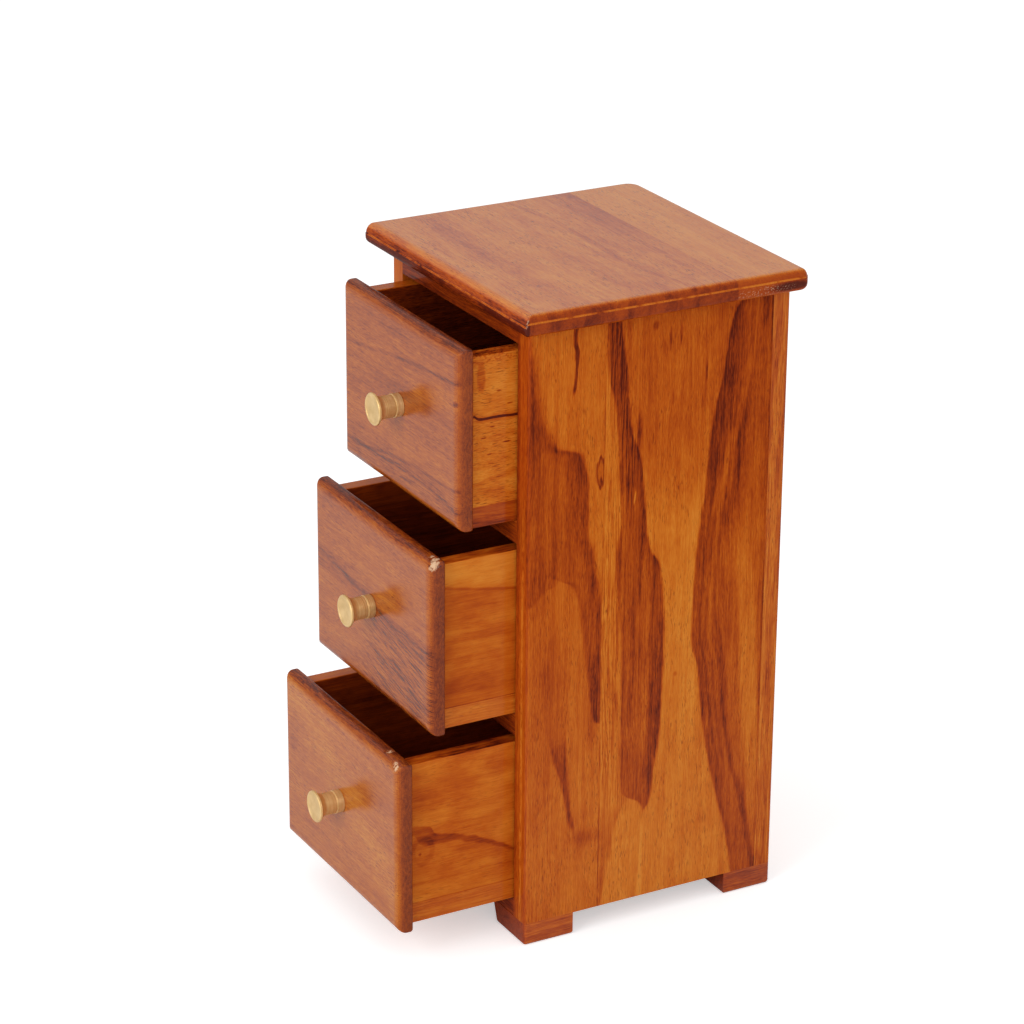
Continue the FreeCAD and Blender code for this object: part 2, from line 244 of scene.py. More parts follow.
class Shader(Nodes):
    """Node tree of one material, with calls for what the looks are made of."""

    def __init__(self, name):
        self.material = bpy.data.materials.new(name)
        super().__init__(self.material)
        spot = self.add("ShaderNodeTexCoord").outputs["Object"]
        self.place = self.vector("MULTIPLY", spot, (1 / MM,) * 3)
        self.x, self.y, self.z = self.add("ShaderNodeSeparateXYZ", {"Vector": self.place}).outputs

    def vector(self, operation, *values):
        """Result of one operation on vectors."""
        node = self.add("ShaderNodeVectorMath", dict(enumerate(values)), operation=operation)
        return node.outputs["Value" if operation in ("DISTANCE", "DOT_PRODUCT") else "Vector"]

    def total(self, *values):
        """Sum of numbers."""
        return functools.reduce(functools.partial(self.math, "ADD"), values)

    def product(self, *values):
        """Product of numbers."""
        return functools.reduce(functools.partial(self.math, "MULTIPLY"), values)

    def add_up(self, *layers):
        """Sum of layers, each given as masks and a weight to be multiplied."""
        return self.total(*(self.product(*layer) for layer in layers))

    def less(self, value, taken):
        """One number less another."""
        return self.math("SUBTRACT", value, taken)

    def opposite(self, value):
        """1 less the value."""
        return self.less(1.0, value)

    def scaled(self, value, factor, shift):
        """The value times a factor, plus a shift."""
        return self.math("MULTIPLY_ADD", value, factor, shift)

    def combine(self, x, y, z):
        """Vector of three numbers."""
        return self.add("ShaderNodeCombineXYZ", {"X": x, "Y": y, "Z": z}).outputs[0]

    def rise(self, value, start, end):
        """Smooth step from 0 at start to 1 at end."""
        inputs = {"Value": value, "From Min": start, "From Max": end}
        return self.add("ShaderNodeMapRange", inputs, interpolation_type="SMOOTHSTEP").outputs[0]

    def fall(self, value, start, end):
        """Smooth step from 1 at start to 0 at end."""
        return self.opposite(self.rise(value, start, end))

    def shade(self, distance, reach, soft=0.6):
        """1 just within a boundary, fading to 0 at a reach from it and at once outside it."""
        return self.product(self.rise(distance, -soft, soft), self.fall(distance, 0, reach))

    def facing(self, direction):
        """How squarely the surface faces a direction, from -1 to 1."""
        normal = self.add("ShaderNodeNewGeometry").outputs["True Normal"]
        return self.vector("DOT_PRODUCT", normal, direction)

    def turned_to(self, direction, start=0.5, end=0.9):
        """1 on faces that look along a direction."""
        return self.rise(self.facing(direction), start, end)

    def noise(self, size, seed, detail=2.0, roughness=0.5, place=None):
        """Noise from about 0.25 to 0.75 whose grains have the given size on each axis."""
        shrink = tuple(1 / length for length in size)
        scaled = self.vector("MULTIPLY", place or self.place, shrink)
        moved = self.vector("ADD", scaled, (seed, 1.7 * seed, 2.3 * seed))
        inputs = {"Vector": moved, "Scale": 1.0, "Detail": detail, "Roughness": roughness}
        return self.add("ShaderNodeTexNoise", inputs).outputs["Fac"]

    def swing(self, size, seed, detail=2.0, middle=0.5):
        """Noise less its middle value."""
        return self.less(self.noise(size, seed, detail), middle)

    def patches(self, start, end, size, seed, **settings):
        """Patches of 1 where noise is above end, fading to 0 where it is below start."""
        return self.rise(self.noise(size, seed, **settings), start, end)

    def route(self, value, points):
        """Position read from a curve through (value, position) points."""
        points = sorted(points)
        start, end = points[0][0], points[-1][0]
        low, high = min(p[1] for p in points), max(p[1] for p in points)
        share = self.add("ShaderNodeMapRange", {"Value": value, "From Min": start, "From Max": end})
        node = self.add("ShaderNodeFloatCurve", {"Value": share.outputs[0]})
        shown = node.mapping.curves[0].points
        for number, (at, position) in enumerate(points):
            spot = ((at - start) / (end - start), (position - low) / (high - low))
            if number in (0, len(points) - 1):
                shown[0 if number == 0 else len(shown) - 1].location = spot
            else:
                shown.new(*spot)
        for point in shown:
            point.handle_type = "AUTO_CLAMPED"
        node.mapping.update()
        return self.scaled(node.outputs[0], high - low, low)

    def between(self, value, low, high, soft=0.8):
        """1 between low and high, fading to 0 over the soft width."""
        above = self.rise(value, self.less(low, soft), self.math("ADD", low, soft))
        below = self.rise(value, self.less(high, soft), self.math("ADD", high, soft))
        return self.less(above, below)

    def line(self, value, centre, width, soft=0.4):
        """1 on the centre line, fading to 0 past half its width."""
        off = self.math("ABSOLUTE", self.less(value, centre))
        half = self.math("MULTIPLY", width, 0.5)
        return self.fall(off, half, self.math("ADD", half, soft))

    def spot(self, a, b, centre, size, soft=0.5):
        """1 inside an ellipse about the centre, fading to 0 outside it."""
        off_a = self.math("DIVIDE", self.less(a, centre[0]), size[0])
        off_b = self.math("DIVIDE", self.less(b, centre[1]), size[1])
        reach = self.math("SQRT", self.total(self.product(off_a, off_a), self.product(off_b, off_b)))
        return self.fall(reach, 1 - soft, 1 + soft)

    def ramp(self, value, stops):
        """Colour read from (position, colour) stops."""
        node = self.add("ShaderNodeValToRGB", {"Fac": value})
        shown = node.color_ramp.elements
        while len(shown) < len(stops):
            shown.new(0.5)
        for element, (position, colour) in zip(shown, stops):
            element.position = position
            element.color = (*colour, 1.0)
        return node.outputs[0]

    def mix(self, factor, first, second, blend="MIX"):
        """Mix of two colours."""
        inputs = {0: factor, 6: first, 7: second}
        return self.add("ShaderNodeMix", inputs, data_type="RGBA", blend_type=blend).outputs[2]

    def bump(self, height, distance, strength=1.0, below=None):
        """Surface tilted as the height in units of the distance says."""
        inputs = {"Height": height, "Distance": distance, "Strength": strength, "Normal": below}
        return self.add("ShaderNodeBump", inputs).outputs[0]

    def surface(self, **inputs):
        """Finishes the material with a Principled surface and returns it."""
        names = {"base": "Base Color", "rough": "Roughness", "metal": "Metallic", "normal": "Normal",
                 "coat": "Coat Weight", "coat_rough": "Coat Roughness", "coat_normal": "Coat Normal",
                 "level": "Specular IOR Level"}
        made = self.add("ShaderNodeBsdfPrincipled", {names[key]: value for key, value in inputs.items()})
        return self.finished(made)

    def finished(self, made):
        """Ends the material with the surface that a node gives and returns it."""
        self.add("ShaderNodeOutputMaterial", {"Surface": made.outputs[0]})
        return self.material


def grain_size(along, across_mm, along_mm):
    """Size on each axis of a grain that runs along one of them."""
    return tuple(along_mm if axis == along else across_mm for axis in "xyz")


def chipped(chips, strength=1.0):
    """Mask maker: 1 where one of the chips bares the wood."""
    def mask(shader):
        parts = []
        for centre, radius, _ in chips:
            off = shader.vector("DISTANCE", shader.place, tuple(value / MM for value in centre))
            rough = shader.scaled(shader.noise((0.8, 0.8, 0.8), 4.4, detail=3), 2.4, off)
            reach = radius / MM
            parts.append(shader.fall(rough, 0.6 * reach + 1.0, 0.8 * reach + 1.4))
        return shader.product(shader.total(*parts), strength)
    return mask


def lacquered_wood(name, along, seed, tone, figure=None, bare=None, coat=0.35, stripes=1.0, pores=1.0,
                   ends=0.2, faces=None, rest=0.25, tint=None, blur=0.12):
    """Lacquered wood whose fibres run along an axis.

    The figure adds darkness, bare shows raw wood, and ends darkens the end grain. With faces, a direction,
    only the faces turned that way have the whole coat, the others the rest of it.
    """
    shader = Shader(name)
    straight = shader.place
    sway = shader.product(shader.swing(grain_size(along, 9, 70), seed + 5, detail=1), 5.0)
    bend = [0.0 if axis == along else sway for axis in "xyz"]
    shader.place = shader.vector("ADD", straight, shader.combine(*bend))

    # Bands, blotches, stripes, fibres and pores: size across and along the fibres, weight, detail
    sorts = [(16, 110, 0.40, 2), (6, 9, 0.22, 3), (2.0, 110, 0.46 * stripes, 3),
             (0.55, 16, 0.50 * stripes, 2), (0.24, 3.2, 0.42 * pores, 1)]
    grain = shader.add_up(*(
        (shader.swing(grain_size(along, across_mm, along_mm), seed + number, detail), weight)
        for number, (across_mm, along_mm, weight, detail) in enumerate(sorts)))
    fibres = tuple(1.0 if axis == along else 0.0 for axis in "xyz")
    end_grain = shader.rise(shader.math("ABSOLUTE", shader.facing(fibres)), 0.35, 0.95)
    contrast = shader.scaled(end_grain, -0.6, 1.0)
    parts = [tone, shader.product(grain, contrast), shader.product(end_grain, ends)]
    if figure:
        parts.append(figure(shader))
    colour = shader.ramp(shader.total(*parts), WOOD_STOPS)
    if tint:
        colour = shader.mix(1.0, colour, tint, "MULTIPLY")
    fleck = shader.noise(grain_size(along, 0.30, 3.4), seed + 3, detail=1)
    areas = shader.patches(0.30, 0.6, grain_size(along, 7, 20), seed + 7)
    dark_pores = shader.product(shader.rise(fleck, 0.58, 0.70), areas, 0.62 * pores)
    colour = shader.mix(dark_pores, colour, UMBER)

    covered = coat(shader) if callable(coat) else coat
    if faces:
        share = shader.turned_to(faces, COAT_START, COAT_WHOLE)
        covered = shader.scaled(share, (1 - rest) * coat, rest * coat)
    if bare:
        raw = bare(shader)
        colour = shader.mix(raw, colour, BARE)
        covered = shader.product(shader.opposite(raw), covered)
    fibre = shader.noise(grain_size(along, 0.35, 9), seed + 4, detail=2)
    ripple = shader.noise((7, 7, 7), seed + 6, detail=1, place=straight)
    wave = shader.bump(fibre, 0.02 * MM, 0.6, shader.bump(ripple, 0.08 * MM, 0.5))
    return shader.surface(base=colour, rough=shader.scaled(fleck, 0.2, 0.34), level=0.0,
                          normal=shader.bump(fibre, 0.05 * MM, 0.5), coat=covered, coat_rough=blur,
                          coat_normal=wave)


def brass():
    """Turned brass: fine tool rings round the knob's line, a little uneven in tone."""
    shader = Shader("brass_turned")
    tint = shader.noise((4, 4, 4), 2.0, detail=3)
    colour = shader.ramp(tint, [(0.3, (0.66, 0.43, 0.17)), (0.7, (0.84, 0.59, 0.28))])
    rings = shader.noise((60, 0.30, 60), 3.0, detail=2)
    around = shader.opposite(shader.turned_to(FORWARD, 0.3, 0.6))
    shown = shader.product(shader.rise(rings, 0.46, 0.62), around)
    colour = shader.mix(shown, colour, (0.66, 0.40, 0.14))
    return shader.surface(base=colour, rough=shader.scaled(tint, 0.14, 0.36), metal=0.62,
                          normal=shader.bump(rings, 0.10 * MM, 1.0))


def steel():
    """Zinc-plated steel."""
    shader = Shader("zinc_steel")
    tint = shader.noise((1.5, 1.5, 1.5), 4.0, detail=3)
    colour = shader.ramp(tint, [(0.3, (0.42, 0.42, 0.41)), (0.7, (0.62, 0.62, 0.60))])
    return shader.surface(base=colour, rough=shader.scaled(tint, 0.2, 0.3), metal=1.0)


# Studio

def lamp(name, place, power):
    """Soft square lamp at a place, turned towards the chest."""
    data = bpy.data.lights.new(name, "AREA")
    data.shape = "SQUARE"
    data.size = LAMP_SIZE
    data.energy = power
    made = bpy.data.objects.new(name, data)
    made.location = place
    made.rotation_euler = (Vector(LAMP_AIM) - Vector(place)).to_track_quat("-Z", "Y").to_euler()
    bpy.context.scene.collection.objects.link(made)


def studio():
    """Camera, lamps, white surroundings and a pale floor."""
    scene = bpy.context.scene
    scene.view_settings.view_transform = "Standard"
    data = bpy.data.cameras.new("camera")
    data.sensor_width = CAMERA_SENSOR_MM
    data.lens = CAMERA_LENS_MM
    camera = bpy.data.objects.new("camera", data)
    turn = (Vector(CAMERA_AIM) - Vector(CAMERA_PLACE)).to_track_quat("-Z", "Y").to_matrix().to_4x4()
    roll = Matrix.Rotation(math.radians(CAMERA_ROLL_DEG), 4, "Z")
    camera.matrix_world = Matrix.Translation(CAMERA_PLACE) @ turn @ roll
    scene.collection.objects.link(camera)
    scene.camera = camera

    scene.world = bpy.data.worlds.new("surroundings")
    nodes = Nodes(scene.world)
    rays = nodes.add("ShaderNodeLightPath").outputs
    seen = nodes.math("MAXIMUM", rays["Is Camera Ray"], rays["Is Transmission Ray"])
    limits = {"Value": seen, "To Min": SURROUNDINGS_LIGHT, "To Max": SURROUNDINGS_SEEN}
    strength = nodes.add("ShaderNodeMapRange", limits).outputs[0]
    white = nodes.add("ShaderNodeBackground", {"Color": (1, 1, 1), "Strength": strength})
    nodes.add("ShaderNodeOutputWorld", {"Surface": white.outputs[0]})

    for name, (place, power) in LAMPS.items():
        lamp(name, place, power)

    size = FLOOR_HALF_SIZE
    corners = [(-size, -size, 0), (size, -size, 0), (size, size, 0), (-size, size, 0)]
    floor = mesh_object("floor", corners, [(0, 1, 2, 3)])
    shader = Shader("pale_floor")
    colour = shader.ramp(shader.noise((60, 60, 60), 1.0), FLOOR_TONES)
    rays = shader.add("ShaderNodeLightPath").outputs["Is Camera Ray"]
    diffuse = shader.add("ShaderNodeBsdfDiffuse", {"Color": colour})
    glow = shader.add("ShaderNodeEmission", {"Strength": shader.product(rays, FLOOR_GLOW)})
    both = shader.add("ShaderNodeAddShader", {0: diffuse.outputs[0], 1: glow.outputs[0]})
    floor.data.materials.append(shader.finished(both))


# Figures: what is drawn over the grain, as added darkness, in the CAD's millimetres

def feathered(shader, seed, value, amount=1.4):
    """The coordinate, shifted so that what is drawn on it gets feathered edges."""
    coarse = shader.noise((2.2, 2.2, 26), seed, detail=3, roughness=0.6)
    fine = shader.noise((0.45, 0.45, 9), seed + 1.5, detail=2, roughness=0.6)
    both = shader.scaled(fine, 1.2, shader.less(coarse, 1.1))
    return shader.scaled(both, amount, value)


def side_gloss(shader):
    """Coat of the right side, glossier towards the floor."""
    return shader.scaled(shader.fall(shader.z, 20, 190), 0.24, 0.08)


def stave_edge_figure(shader):
    """Front edge of the right side: dark, with painted shade along its inner side beside the drawers and a
    ragged painted highlight line up its lower part.
    """
    # Ragged painted highlight line up the lower part of the edge
    edge_highlight_line = shader.product(shader.line(shader.x, 54.4, 0.7, 0.9), shader.fall(shader.z, 150, 215),
                            shader.patches(0.36, 0.56, (2, 2, 5), 23, detail=3))
    # The darkening towards the inner side is painted shade beside the drawers
    tone = shader.add_up((edge_highlight_line, -0.36), (shader.fall(shader.x, 50.5, 52.5), 0.14),
                         (shader.rise(shader.x, 56.0, 57.2), 0.10))
    return shader.math("ADD", tone, 0.20)


def right_front_figure(shader):
    """Dark flame down the front stave of the right side, with a paler arch in it and a painted highlight
    along its front arris.
    """
    y, z = feathered(shader, 11, shader.y), shader.z
    flame = shader.route(z, [
        (270, -60.2), (258, -58.4), (234.8, -53.9), (222.2, -48.6), (218, -45.8), (215.4, -39),
        (212.4, -34.8), (206.7, -33.4), (200, -31.9), (193.7, -32.2), (180.9, -32.5),
        (171.8, -30), (163, -28.6), (156, -27), (145, -25.4), (100, -24.5), (10, -24)])
    within = shader.less(flame, y)
    haze = shader.route(z, [(270, 1.4), (240, 4.4), (218, 4.0), (205, 1.4), (160, 2.0), (10, 1.6)])
    inside = shader.rise(within, shader.math("MULTIPLY", haze, -1.0), haze)
    arch_high = shader.route(z, [
        (163, -48), (160.6, -44.4), (156.6, -38.5), (146, -35.4), (131.1, -33.4), (110.7, -30.9),
        (98, -29), (94.5, -26.5), (92.5, -23), (10, -22)])
    arch_low = shader.route(z, [
        (163, -47), (161.5, -46), (158.2, -51.1), (153, -56.8), (147, -62), (10, -66)])
    arch = shader.between(y, arch_low, arch_high, 1.3)
    over_arch = shader.less(y, arch_high)
    body = shader.product(inside, shader.opposite(arch))

    curl_low = shader.route(z, [
        (98, -52), (92, -49.8), (84, -47.6), (76, -45.2), (70, -43.2), (63, -41.8), (53, -39.8), (46, -37.6)])
    curl_high = shader.route(z, [
        (98, -41.5), (90, -41.2), (79, -40.6), (70, -40), (58, -38.5), (46, -36)])
    curl = shader.product(shader.between(y, curl_low, curl_high, 0.9), shader.rise(z, 44, 52),
                          shader.fall(z, 78, 100))
    tail_route = shader.route(z, [
        (269, -38.6), (262, -39.4), (256, -38.4), (250, -38.6), (243, -39.2), (237, -40.4)])
    tail_width = shader.route(z, [(269, 2.6), (263, 1.3), (257, 1.5), (250, 0.6), (243, 0.8), (237, 0.0)])
    tail = shader.line(shader.y, tail_route, tail_width, 0.6)
    eye_y = shader.math("DIVIDE", shader.math("ABSOLUTE", shader.math("ADD", y, 26.9)), 1.7)
    eye_z = shader.math("DIVIDE", shader.less(z, 204.5), 6.8)
    eye_reach = shader.total(eye_y, shader.product(eye_z, eye_z))
    fine = shader.patches(0.48, 0.62, (0.5, 0.5, 45), 13, detail=2)
    clouds = shader.swing((6, 6, 26), 14, detail=3)
    fading_up = shader.opposite(shader.product(shader.rise(z, 216, 236), 0.6))
    # Painted highlight along the front arris, broken in ragged patches
    corner_highlight = shader.product(shader.rise(shader.x, 57.6, 58.1), shader.fall(shader.y, -59.8, -59.3),
                                 shader.patches(0.36, 0.56, (4, 4, 9), 19, detail=3))
    drawn = shader.add_up(
        (inside, 0.12), (inside, shader.rise(z, 80, 100), 0.10), (body, 0.04),
        (body, shader.shade(within, 11), fading_up, 0.15),
        (body, shader.shade(within, 4.5), shader.fall(z, 205, 222), 0.03), (arch, -0.10),
        (body, shader.rise(z, 205, 245), 0.12),
        (shader.shade(over_arch, 4.0), shader.between(z, 96, 162, 3), 0.10), (curl, 0.40),
        (shader.spot(y, z, (-31, 44), (7, 3.2), 0.8), 0.24),
        (tail, shader.rise(z, 238, 242), 0.50), (shader.line(eye_reach, 1.0, 0.20, 0.35), 0.42),
        (shader.fall(eye_reach, 0.7, 1.0), 0.12),
        (shader.spot(shader.y, z, (-26.8, 201), (0.5, 1.6), 0.7), 0.4),
        (fine, body, shader.rise(shader.y, -40, -30), 0.12),
        (shader.spot(y, z, (-50, 119), (7, 15), 0.8), 0.14), (clouds, 0.22),
        (shader.spot(y, z, (-55, 78), (7, 22), 0.8), 0.16),
        (shader.fall(z, 12, 60), shader.fall(y, -52, -36), 0.10), (shader.between(z, -10, 8, 6), 0.06))
    drawn = shader.scaled(corner_highlight, -0.3, drawn)
    on_edge = shader.turned_to(FORWARD, 0.4, 0.6)
    return shader.add_up((on_edge, stave_edge_figure(shader)), (shader.opposite(on_edge), drawn))


def right_rear_figure(shader):
    """Dark lobe and dark band on the rear stave of the right side, with a paler tongue between them."""
    y, z = feathered(shader, 12, shader.y), shader.z
    lobe_low = shader.route(z, [
        (270, -25.2), (243, -23.6), (234, -21), (217, -19.2), (204, -18.6), (182, -16.8), (171, -18.6),
        (165, -19.0), (147, -17.6), (125, -15.8), (80, -15.4), (62, -14.6), (57.5, -12), (56, -9.5),
        (49, -4.2), (10, -4)])
    lobe_high = shader.route(z, [
        (270, -19), (239.6, -14.9), (221.6, -13.1), (206.4, -8.3), (184.2, -5.8), (168.1, -3.5),
        (158.8, 1.7), (143.3, 3.6), (118.2, 4.3), (88.1, 3.5), (68.2, 0.8), (53.1, -1.2),
        (48, -4.1), (10, -6)])
    lobe = shader.between(y, lobe_low, lobe_high, 0.8)
    within = shader.less(lobe_high, y)
    band_low = shader.route(z, [
        (270, 37.8), (254.2, 31.6), (236.7, 29.2), (222, 25.7), (210.6, 24.1), (189.9, 22.3),
        (174.7, 20.2), (161, 18.7), (147, 18), (127.8, 17.2), (109.7, 20.7), (90.9, 22.9),
        (67.4, 26.9), (47.5, 31.9), (28.4, 37), (10, 40.4)])
    past = shader.less(y, band_low)
    band = shader.rise(past, -0.9, 0.9)
    middle = shader.between(y, lobe_high, band_low, 1.2)
    foot_edge = shader.route(z, [(10, -24.2), (31.7, -19.9), (46.6, -17), (54.1, -13.9), (60, -10)])
    corner = shader.between(y, -27, foot_edge, 0.7)

    lane = shader.route(z, [(262, 47), (232, 40.3), (216, 36.9), (204, 33.3), (185, 29.5), (170, 27)])
    second = shader.route(z, [(262, 49), (247, 43.7), (212, 39), (186, 36), (168, 32.6), (150, 31)])
    thread = shader.route(z, [(150, 27), (133, 29.1), (107, 33.2), (65, 38), (48, 43), (31, 46.9), (10, 51)])
    pale_lane = shader.route(z, [(176, 39.4), (157, 40.5), (130, 44.5), (95, 46), (63, 49), (10, 56)])
    lighter = shader.route(z, [(170, -6), (150, -4.5), (110, -4), (75, -5)])
    rings = shader.total(*(shader.line(past, distance, 0.4, 1.1) for distance in (4.2, 7.0, 10.4)))
    marks = [((-2.9, 262.3), (1.3, 1.8)), ((4.1, 256), (0.6, 4.5)), ((8.9, 257), (0.5, 4.0)),
             ((21.2, 239.8), (0.5, 5.0)), ((-9.5, 218), (1.0, 9.0)), ((10, 109), (0.9, 1.0))]
    dots = shader.total(*(shader.spot(shader.y, z, *mark, 0.6) for mark in marks))
    fleck_z = shader.scaled(shader.y, -3.0, z)

    high = shader.rise(z, 165, 225)
    low = shader.fall(z, 50, 60)
    fine = shader.patches(0.46, 0.60, (0.5, 0.5, 45), 21, detail=2)
    clouds = shader.swing((7, 7, 18), 22, detail=3)
    streaks = shader.swing((1.1, 1.1, 60), 24, detail=3)
    streaked = shader.total(lobe, band, shader.product(middle, high, 0.6))
    by_joint = shader.between(shader.y, SIDE_JOINT_Y_MM, shader.less(lobe_low, 0.3), 0.8)
    joint = shader.product(shader.line(shader.y, SIDE_JOINT_Y_MM + 0.1, 0.3, 0.45),
                           shader.patches(0.36, 0.52, (4, 4, 14), 27, detail=3), shader.fall(z, 225, 250))
    return shader.add_up(
        (lobe, 0.32), (lobe, shader.shade(within, 11), 0.13),
        (lobe, shader.opposite(fine), -0.12), (lobe, high, 0.05), (streaked, streaks, 0.34),
        (lobe, high, fine, 0.14), (lobe, shader.shade(within, 2.6), 0.05),
        (lobe, shader.line(y, lighter, 1.2, 1.4), shader.between(z, 70, 165, 8), -0.10),
        (band, 0.15), (band, high, 0.16), (shader.shade(past, 9), 0.13),
        (shader.shade(past, 3.0), 0.07), (shader.line(shader.y, 51.7, 0.4, 0.6), 0.12),
        (middle, shader.opposite(high), -0.18),
        (shader.spot(shader.y, fleck_z, (-11, 223.6), (0.55, 2.2), 0.4), -0.4), (joint, 0.24),
        (middle, high, 0.14), (rings, shader.between(z, 60, 215, 20), 0.13),
        (corner, low, 0.16), (corner, low, fine, 0.16),
        (by_joint, fine, shader.opposite(low), 0.30), (by_joint, -0.18),
        (shader.line(y, lane, 1.6, 2.0), shader.between(z, 180, 262, 8), -0.16),
        (shader.line(y, second, 1.6, 2.6), shader.rise(z, 160, 185), 0.14),
        (shader.line(y, thread, 1.0, 1.6), shader.fall(z, 120, 150), 0.16),
        (shader.line(y, pale_lane, 4.5, 3.5), shader.fall(z, 150, 185), -0.20),
        (shader.opposite(band), clouds, 0.26), (band, clouds, 0.20),
        (shader.spot(shader.y, z, (54, 60), (3, 60), 0.7), 0.12), (dots, 0.30))


def inner_painted_shade(shader):
    """Painted shade inside a drawer: faces turned neither up nor left are darkened; the rim and the outer
    face on the left stay lighter.
    """
    rim, outer = shader.turned_to(UP), shader.turned_to(LEFT)
    return shader.product(shader.opposite(rim), shader.opposite(outer), 0.42)


def wall_figure(shader, foot, *drawn):
    """What is drawn on a drawer's right wall, with its darker rim, its clouds and a dark joint line at its
    foot, partly painted shade in the seam.
    """
    clouds = shader.swing((9, 14, 7), foot, detail=2)
    streaks = shader.swing((2, 9, 2), foot + 3, detail=3, middle=0.4)
    rim = shader.turned_to(UP)
    # Dark line at the foot: the joint, with painted shade in its seam
    joint = shader.line(shader.z, foot, 0.25, 0.45)
    return shader.add_up((clouds, 0.60), (rim, 0.26), (rim, streaks, 1.2), (joint, 0.26), *drawn)


def top_drawer_wall_figure(shader):
    """Dark patch and dashes on the right wall of the top drawer, and its dark glue joint."""
    y, z = shader.y, shader.z
    patch = shader.spot(feathered(shader, 31, y, 0.8), z, (-75.8, 249.5), (1.7, 6.5), 0.35)
    dashes = [((-64.2, 221.1), (1.6, 0.4)), ((-74.6, 224.1), (1.2, 0.3)), ((-70.7, 228.3), (1.0, 0.3)),
              ((-63, 237), (1.2, 0.3)), ((-68, 243), (0.9, 0.3)), ((-72, 217), (1.1, 0.3))]
    marks = shader.total(*(shader.spot(y, z, *mark, 0.5) for mark in dashes))
    joint = shader.route(y, [
        (-82, 234.2), (-78.5, 233.6), (-74.6, 232.1), (-69.5, 232.2), (-60.4, 231.8), (28, 231.9)])
    diagonal = shader.route(y, [(-82, 203.9), (-78.4, 204.7), (-70.6, 206.4), (-60.2, 208.2), (28, 220)])
    speckled = shader.patches(0.50, 0.60, (0.8, 1.6, 0.8), 37, detail=2)
    return wall_figure(
        shader, 195.5,
        (patch, 0.30), (marks, 0.55), (shader.line(z, joint, 0.5, 0.5), 0.85),
        (shader.line(z, joint, 1.6, 1.6), 0.14), (shader.line(z, diagonal, 0.7, 1.2), 0.16),
        (shader.fall(z, 203, 207), 0.06), (speckled, shader.rise(z, 253.5, 256.5), 0.30),
        (speckled, shader.between(z, 205, 228, 3), 0.08))


def middle_drawer_wall_figure(shader):
    """Paler band with a dark thread under it, high on the right wall of the middle drawer."""
    thread = shader.route(shader.y, [(-96, 164.2), (-90.5, 163.3), (-76.2, 160.4), (-60.5, 157.9), (15, 147)])
    over = shader.less(shader.z, thread)
    under = shader.math("MULTIPLY", over, -1.0)
    return wall_figure(
        shader, 111.2,
        (shader.line(over, 0.0, 0.5, 0.7), 0.20), (shader.rise(over, 0, 5), -0.22),
        (shader.shade(under, 12, 1.0), 0.10), (shader.fall(shader.z, 108, 145), 0.12))


def bottom_drawer_wall_figure(shader):
    """Dark wedge down the right wall of the bottom drawer, with a small knot under it."""
    y = shader.y
    z = shader.scaled(shader.swing((3, 5, 3), 41, detail=4), 3.0, shader.z)
    high = shader.route(y, [
        (-106, 61.8), (-98.4, 60.1), (-96.4, 56.8), (-89.1, 54.8), (-78.4, 51.4), (-70.3, 47.6),
        (-61.4, 42.8), (0, 18)])
    low = shader.route(y, [
        (-106, 57.5), (-99.7, 51.9), (-91.7, 51.9), (-78.4, 48.4), (-61.4, 41.2), (0, 17)])
    wedge = shader.between(z, low, high, 0.7)
    under = shader.less(high, z)
    knot_ring = shader.line(shader.spot(y, z, (-102, 50), (4.5, 5.5), 0.9), 0.5, 0.2, 0.2)
    return wall_figure(
        shader, 26.9,
        (wedge, 0.20), (shader.shade(under, 11, 0.6), 0.14),
        (shader.spot(y, z, (-98.5, 55.5), (3.5, 3.0), 0.7), 0.08), (knot_ring, 0.12),
        (shader.spot(y, z, (-103.2, 48.6), (0.7, 0.6), 0.5), 0.35))


def on_face(shader, *drawn):
    """What is drawn on a drawer front's face; its rounded edges get painted shade, speckled all round and
    streaked on the upper ones.
    """
    ahead = shader.turned_to(FORWARD, 0.35, 0.9)
    above = shader.turned_to(UP, 0.1, 0.5)
    streaks = shader.swing((11, 1.6, 1.6), 59, detail=3, middle=0.30)
    speckle = shader.swing((0.7, 0.7, 1.6), 63, detail=2, middle=0.05)
    # Painted shade on the rounded edges, broken into speckles, with streaks on the upper rounds
    rounded_edge_shade = shader.opposite(ahead)
    return shader.add_up((ahead, shader.add_up(*drawn)), (rounded_edge_shade, speckle, 0.36),
                         (rounded_edge_shade, above, streaks, 0.55))


def top_front_face_figure(shader):
    """Dark threads across the top drawer's front, finer ones low on it, and two small knots."""
    x, z = shader.x, shader.z
    threads = [shader.route(x, [(-54, 193), (-36.5, 195.3), (0.3, 201.2), (45.3, 203.4), (54, 204)]),
               shader.route(x, [(-54, 196), (-20, 196.6), (7.9, 197.8), (54, 194)]),
               shader.route(x, [(-54, 237), (-38, 238.9), (-1.8, 244.1), (54, 249)])]
    fine = shader.patches(0.52, 0.62, (14, 14, 0.5), 53, detail=2)
    return on_face(
        shader,
        *((shader.line(z, thread, 0.5, 1.1), 0.16) for thread in threads),
        (fine, shader.fall(z, 196, 212), 0.16), (shader.rise(z, 240, 256), 0.06),
        (shader.spot(x, z, (47.7, 239.9), (1.4, 1.1), 0.6), 0.3),
        (shader.spot(x, z, (15.6, 210.4), (1.6, 0.8), 0.6), 0.2))


